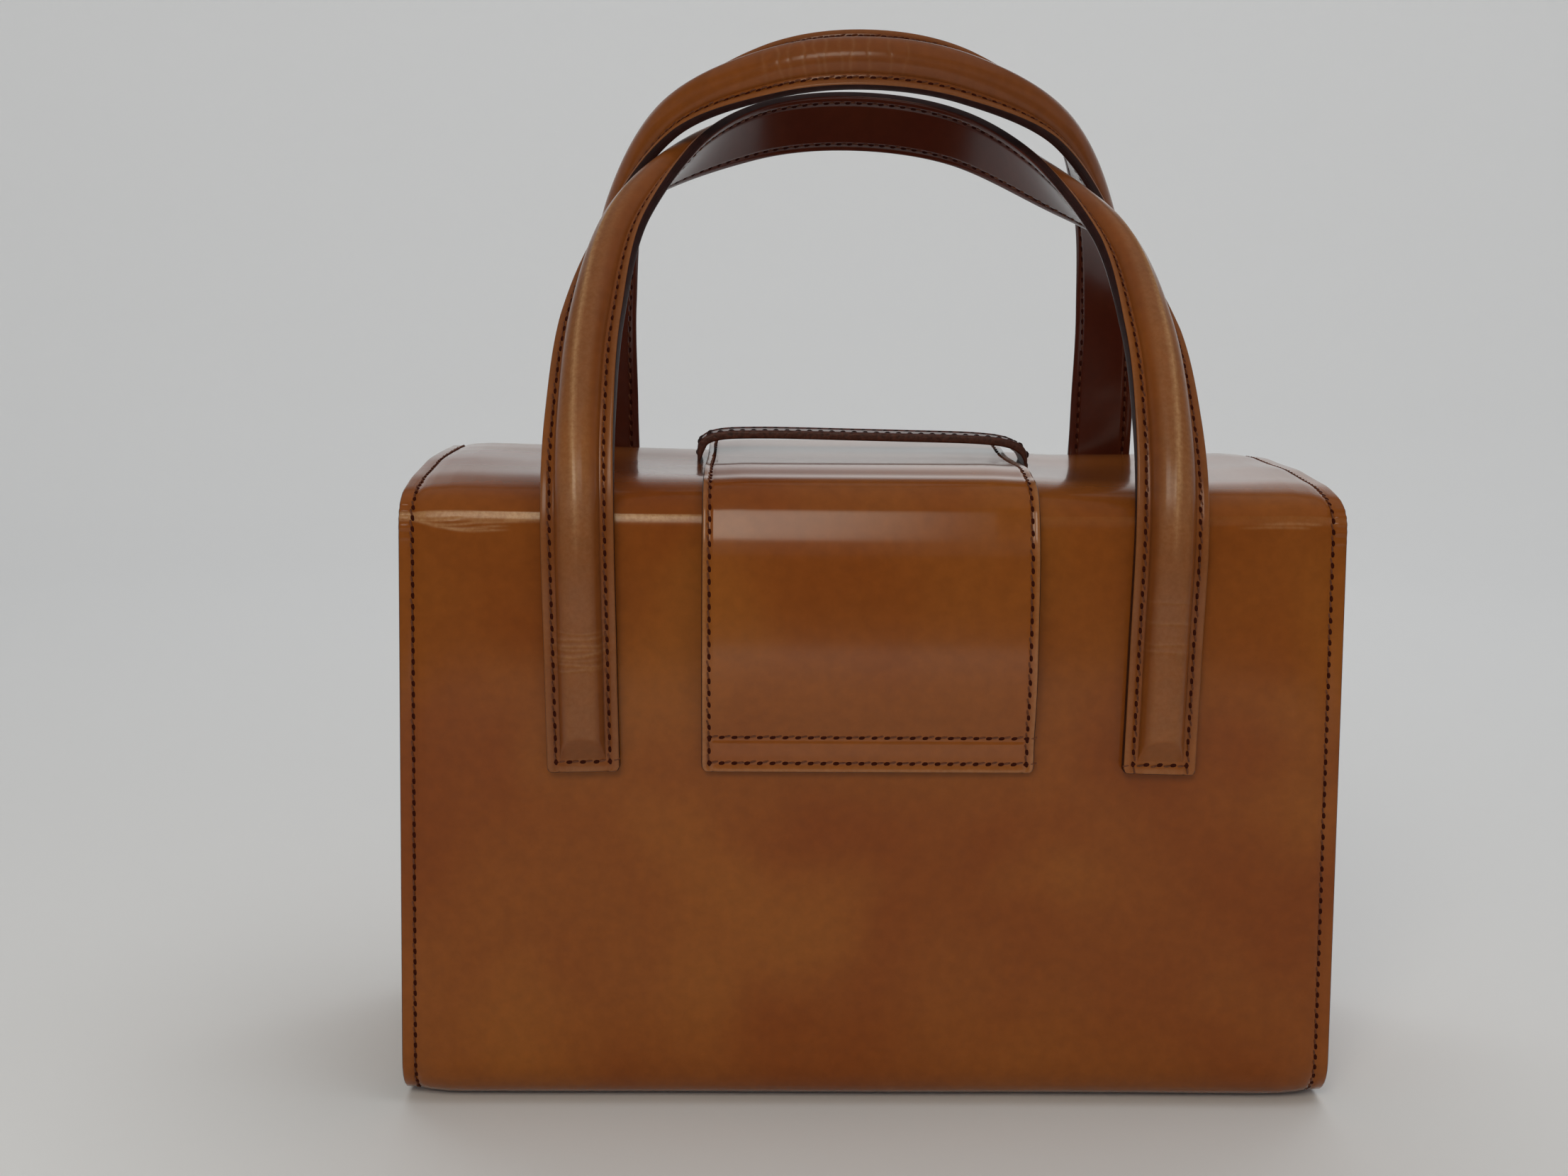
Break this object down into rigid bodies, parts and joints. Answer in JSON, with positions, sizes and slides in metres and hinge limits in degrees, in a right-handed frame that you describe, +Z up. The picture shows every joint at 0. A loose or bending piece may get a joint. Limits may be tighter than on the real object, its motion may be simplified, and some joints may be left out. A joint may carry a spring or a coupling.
{
  "type": "leather handbag",
  "caption": "Boxy leather handbag with a fold-over lid, a wide closure tab held by a leather loop, and padded strap handles; it stands on its flat base.",
  "frame": {"origin": "centre of the bounding box's underside, on the surface that the bag stands on", "axes": "+X along the bag's width, +Y from the back panel to the front panel, +Z up"},
  "size_m": [0.25, 0.1211, 0.2903],
  "materials": {
    "glazed_leather": "glazed, mottled brown",
    "dark_leather": "smooth, dark brown",
    "snap_brass": "dull"
  },
  "bodies": {
    "root": {"body_wrap": "glazed_leather", "gusset_left": "glazed_leather", "gusset_right": "glazed_leather", "closure_tab": "glazed_leather", "tab_keeper": "dark_leather", "tab_snap": "snap_brass", "handle_back_cover": "glazed_leather", "handle_back_lining": "dark_leather", "handle_front_cover": "glazed_leather", "handle_front_lining": "dark_leather"}
  },
  "joints": []
}
